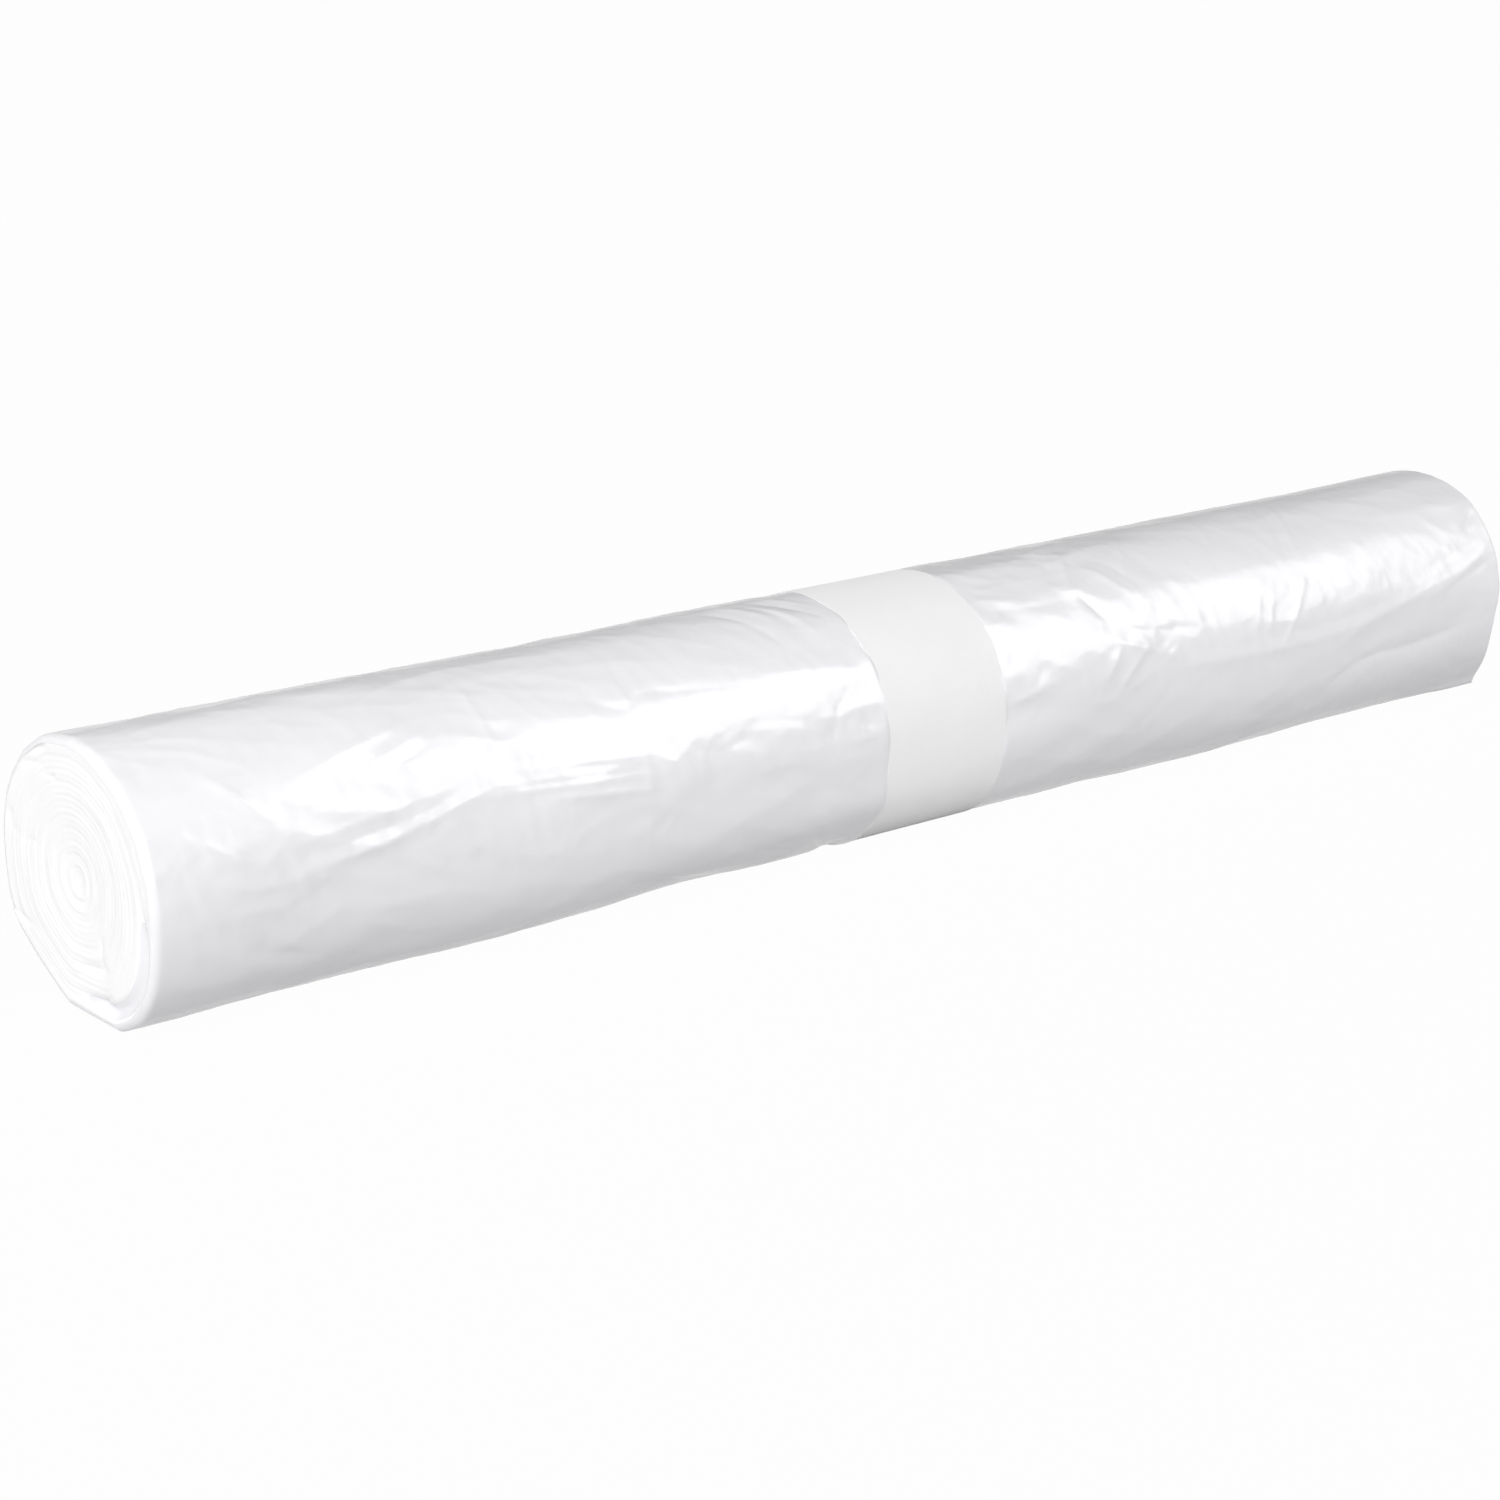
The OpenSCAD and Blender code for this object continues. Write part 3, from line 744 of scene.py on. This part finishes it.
def two_colours(nodes, links, value, dark, light):
    """Mixes two colours by a noise. Sockets 0, 6, 7 and 2 are a colour mix's factor, A, B and result."""
    mix = nodes.new("ShaderNodeMix")
    mix.data_type = "RGBA"
    mix.inputs[6].default_value = (*dark, 1)
    mix.inputs[7].default_value = (*light, 1)
    links.new(between(nodes, links, value, 0, 1), mix.inputs[0])
    return mix.outputs[2]


def bump(nodes, links, height, distance, below=None):
    """A bump whose full height is a distance in metres, on top of another one if given."""
    node = nodes.new("ShaderNodeBump")
    node.inputs["Strength"].default_value = 1
    node.inputs["Distance"].default_value = distance
    links.new(height, node.inputs["Height"])
    if below is not None:
        links.new(below, node.inputs["Normal"])
    return node.outputs["Normal"]


# %% Film on the outside
FILM_DARK, FILM_LIGHT = (0.832, 0.828, 0.853), (0.862, 0.858, 0.881)
FILM_SMOOTHEST, FILM_ROUGHEST = 0.19, 0.25
SLANTED_DEPTH, WRINKLE_DEPTH = 0.00008, 0.000045  # metres
film_material, nodes, links, shader = new_material("film_gloss_white")
clouds = stretched_noise(nodes, links, (0.5, 1, 1), 45, 2)
film_colour = two_colours(nodes, links, clouds, FILM_DARK, FILM_LIGHT)
links.new(film_colour, shader.inputs["Base Color"])
smears = stretched_noise(nodes, links, (0.4, 1, 1), 160, 3)
gloss = between(nodes, links, smears, FILM_SMOOTHEST, FILM_ROUGHEST)
links.new(gloss, shader.inputs["Roughness"])
wrinkles = stretched_noise(nodes, links, (0.3, 1, 1), 420, 3)
slanted = stretched_noise(nodes, links, (1, 0.8, 0.4), 230, 2)
finest = bump(nodes, links, wrinkles, WRINKLE_DEPTH)
links.new(bump(nodes, links, slanted, SLANTED_DEPTH, finest), shader.inputs["Normal"])
shader.inputs["IOR"].default_value = PLASTIC_IOR
shader.inputs["Specular IOR Level"].default_value = 0.45

# %% [markdown]
# ## Film edges at the ends
# Seen end-on, the roll is hundreds of film edges side by side: matte, whiter than the film's
# face, with hair-thin lines that follow the turns. The mesh knows at every point how many
# turns lie inside it, so a sine of that number draws the lines, and noise breaks them up.

# %% Film seen edge-on
LINES_PER_TURN, LINE_SHARE, LINE_DEPTH, LINE_WANDER = 5, 0.12, 0.000025, 0.25
EDGES_DARK, EDGES_LIGHT = (0.94, 0.94, 0.945), (0.96, 0.96, 0.965)
edge_material, nodes, links, shader = new_material("film_edges")
turns = nodes.new("ShaderNodeAttribute")
turns.attribute_name = "turns"
wander = nodes.new("ShaderNodeMath")
wander.operation = "ADD"
links.new(turns.outputs["Fac"], wander.inputs[0])
astray = stretched_noise(nodes, links, (1, 1, 1), 130, 2)
links.new(between(nodes, links, astray, 0, LINE_WANDER), wander.inputs[1])
angle = nodes.new("ShaderNodeMath")
angle.operation = "MULTIPLY"
angle.inputs[1].default_value = 2 * math.pi * LINES_PER_TURN
links.new(wander.outputs[0], angle.inputs[0])
line = nodes.new("ShaderNodeMath")
line.operation = "SINE"
links.new(angle.outputs[0], line.inputs[0])
broken = nodes.new("ShaderNodeMath")
broken.operation = "MULTIPLY_ADD"
broken.inputs[1].default_value = LINE_SHARE
links.new(line.outputs[0], broken.inputs[0])
links.new(stretched_noise(nodes, links, (1, 1, 1), 300, 3), broken.inputs[2])
edges_colour = two_colours(nodes, links, broken.outputs[0], EDGES_DARK, EDGES_LIGHT)
links.new(edges_colour, shader.inputs["Base Color"])
links.new(bump(nodes, links, broken.outputs[0], LINE_DEPTH), shader.inputs["Normal"])
shader.inputs["Roughness"].default_value = 0.6
shader.inputs["IOR"].default_value = PLASTIC_IOR
shader.inputs["Specular IOR Level"].default_value = 0.3
for film in (film_left, film_right):
    film.data.materials.append(film_material)
    film.data.materials.append(edge_material)
print("materials of the film:", [m.name for m in film_left.data.materials])

# %% [markdown]
# ## Paper material
# Plain uncoated paper is matte, a trace warmer than the film, and mottled by its fibres,
# which lie every way but mostly round the roll, as the strip was cut. A full sheen makes it
# paler where it turns away, as the fuzz of its fibres does.

# %% Paper
PAPER_DARK, PAPER_LIGHT = (0.862, 0.848, 0.857), (0.882, 0.868, 0.877)
FIBRE_DEPTH, MOTTLE_DEPTH = 0.00004, 0.00008  # metres
paper_material, nodes, links, shader = new_material("band_paper")
fibres = stretched_noise(nodes, links, (1.6, 1, 1), 700, 4)
mottle = stretched_noise(nodes, links, (1, 1, 1), 120, 2)
paper_colour = two_colours(nodes, links, mottle, PAPER_DARK, PAPER_LIGHT)
links.new(paper_colour, shader.inputs["Base Color"])
uneven_paper = bump(nodes, links, mottle, MOTTLE_DEPTH)
links.new(bump(nodes, links, fibres, FIBRE_DEPTH, uneven_paper), shader.inputs["Normal"])
links.new(between(nodes, links, fibres, 0.85, 0.95), shader.inputs["Roughness"])
shader.inputs["Specular IOR Level"].default_value = 0.3
shader.inputs["Sheen Weight"].default_value = 1
shader.inputs["Sheen Roughness"].default_value = 0.8
band.data.materials.append(paper_material)
print("material of the band:", band.data.materials[0].name)

# %% [markdown]
# ## Floor and backdrop
# The roll lies on a plain pale floor that runs out into white. Looked at, or mirrored in the
# film, floor and world are white, which Light Path tells them. To the light itself they are
# much darker, so they lift no shadow off the roll, and the floor keeps a trace of its shadow.

# %% Floor and world
def light_path_is_background(nodes, links):
    """1 for rays that should see the white background, 0 for rays that carry its light."""
    path = nodes.new("ShaderNodeLightPath")
    first = nodes.new("ShaderNodeMath")
    first.operation = "MAXIMUM"
    links.new(path.outputs["Is Camera Ray"], first.inputs[0])
    links.new(path.outputs["Is Glossy Ray"], first.inputs[1])
    second = nodes.new("ShaderNodeMath")
    second.operation = "MAXIMUM"
    links.new(first.outputs[0], second.inputs[0])
    links.new(path.outputs["Is Transmission Ray"], second.inputs[1])
    return second.outputs[0]


FLOOR_SIZE, FLOOR_GREY, FLOOR_GLOW = 30, 0.44, 0.98
bm = bmesh.new()
bmesh.ops.create_grid(bm, x_segments=1, y_segments=1, size=FLOOR_SIZE / 2)
floor = place_in_scene("floor", bm)

floor_material, nodes, links, shader = new_material("pale_floor")
shader.inputs["Base Color"].default_value = (FLOOR_GREY, FLOOR_GREY, FLOOR_GREY, 1)
shader.inputs["Roughness"].default_value = 0.9
shader.inputs["Specular IOR Level"].default_value = 0
glow = nodes.new("ShaderNodeEmission")
mix = nodes.new("ShaderNodeMixShader")
share = nodes.new("ShaderNodeMath")
share.operation = "MULTIPLY"
share.inputs[1].default_value = FLOOR_GLOW
links.new(light_path_is_background(nodes, links), share.inputs[0])
links.new(share.outputs[0], mix.inputs[0])
links.new(shader.outputs[0], mix.inputs[1])
links.new(glow.outputs[0], mix.inputs[2])
links.new(mix.outputs[0], nodes["Material Output"].inputs[0])
floor.data.materials.append(floor_material)

world = bpy.data.worlds.new("studio")
world.use_nodes = True
nodes, links = world.node_tree.nodes, world.node_tree.links
AMBIENT, AMBIENT_BLUE = 0.02, 0.0206
background = nodes["Background"]
background.inputs["Color"].default_value = (AMBIENT, AMBIENT, AMBIENT_BLUE, 1)
white = nodes.new("ShaderNodeBackground")
white.inputs["Color"].default_value = (1, 1, 1, 1)
mix = nodes.new("ShaderNodeMixShader")
links.new(light_path_is_background(nodes, links), mix.inputs[0])
links.new(background.outputs[0], mix.inputs[1])
links.new(white.outputs[0], mix.inputs[2])
links.new(mix.outputs[0], nodes["World Output"].inputs[0])
bpy.context.scene.world = world
print("the floor is", FLOOR_SIZE, "m wide")

# %% [markdown]
# ## A card behind the roll
# White on white has no outline. Photographers stand a card, called a flag, behind a white
# glossy thing, just out of the picture: the film's top mirrors it and turns grey towards its
# edge. A light grey is enough, and it only takes light away.

# %% Stand the flag behind the roll
FLAG_DISTANCE, FLAG_TURN, FLAG_FROM = 1.6, math.radians(45), 0.16
FLAG_WIDE, FLAG_HIGH, FLAG_GREY = 1.7, 0.65, 0.85
bm = bmesh.new()
bmesh.ops.create_grid(bm, x_segments=1, y_segments=1, size=0.5)
bmesh.ops.scale(bm, verts=bm.verts, vec=(FLAG_WIDE, FLAG_HIGH, 1))
bmesh.ops.rotate(bm, verts=bm.verts, cent=(0, 0, 0), matrix=Matrix.Rotation(math.pi / 2, 3, "X"))
bmesh.ops.rotate(bm, verts=bm.verts, cent=(0, 0, 0), matrix=Matrix.Rotation(-FLAG_TURN, 3, "Z"))
flag_middle = FLAG_FROM + FLAG_HIGH / 2
away = (FLAG_DISTANCE * math.sin(FLAG_TURN), FLAG_DISTANCE * math.cos(FLAG_TURN), flag_middle)
bmesh.ops.translate(bm, verts=bm.verts, vec=away)
flag = place_in_scene("flag", bm)
flag_material, nodes, links, shader = new_material("grey_card")
shader.inputs["Base Color"].default_value = (FLAG_GREY, FLAG_GREY, FLAG_GREY, 1)
shader.inputs["Roughness"].default_value = 1
flag.data.materials.append(flag_material)
print("the flag is", FLAG_WIDE, "m wide and stands", FLAG_DISTANCE, "m behind the roll")

# %% [markdown]
# ## Lights
# Long soft highlights on film come from large soft lights. A wide softbox over the front
# draws the long highlight, two on the left and one in front fill the near end and the front
# at a plain level, and a small one lights the top of the near end.

# %% Softboxes
def softbox(name, place, target, size, brightness):
    """A rectangular soft light. Brightness is what its face looks like, where 1 is white."""
    lamp = bpy.data.objects.new(name, bpy.data.lights.new(name, "AREA"))
    lamp.data.shape = "RECTANGLE"
    lamp.data.size, lamp.data.size_y = size
    lamp.data.energy = brightness * math.pi * size[0] * size[1]
    lamp.location = place
    lamp.rotation_euler = (Vector(place) - Vector(target)).to_track_quat("Z", "Y").to_euler()
    bpy.context.scene.collection.objects.link(lamp)
    return lamp


TARGET = (0, 0, AXIS_HEIGHT * MM)
KEY_DISTANCE, KEY_ANGLE, KEY_X = 2.0, math.radians(136), 1.85
key_place = (KEY_X, KEY_DISTANCE * math.cos(KEY_ANGLE), KEY_DISTANCE * math.sin(KEY_ANGLE) + TARGET[2])
# name, place, target, size in metres, brightness
softbox("key", key_place, (KEY_X, 0, TARGET[2]), (1.66, 1.75), 4.4)
softbox("left_high", (-1.5, -1.1, 0.95), TARGET, (1.2, 1.2), 3.5)
softbox("left_low", (-1.8, -0.4, 0.6), (-0.1, 0, TARGET[2]), (1.4, 1.2), 3.2)
softbox("front", (-0.5, -1.75, 0.7), TARGET, (1.0, 1.0), 2.9)
softbox("near_top", (-0.3, 0.03, 0.27), (-0.16, 0, TARGET[2]), (0.15, 0.15), 2.6)

# %% [markdown]
# ## Finish
# The last cell sets the view transform to Standard.

# %% Set the view transform
bpy.context.scene.view_settings.view_transform = "Standard"
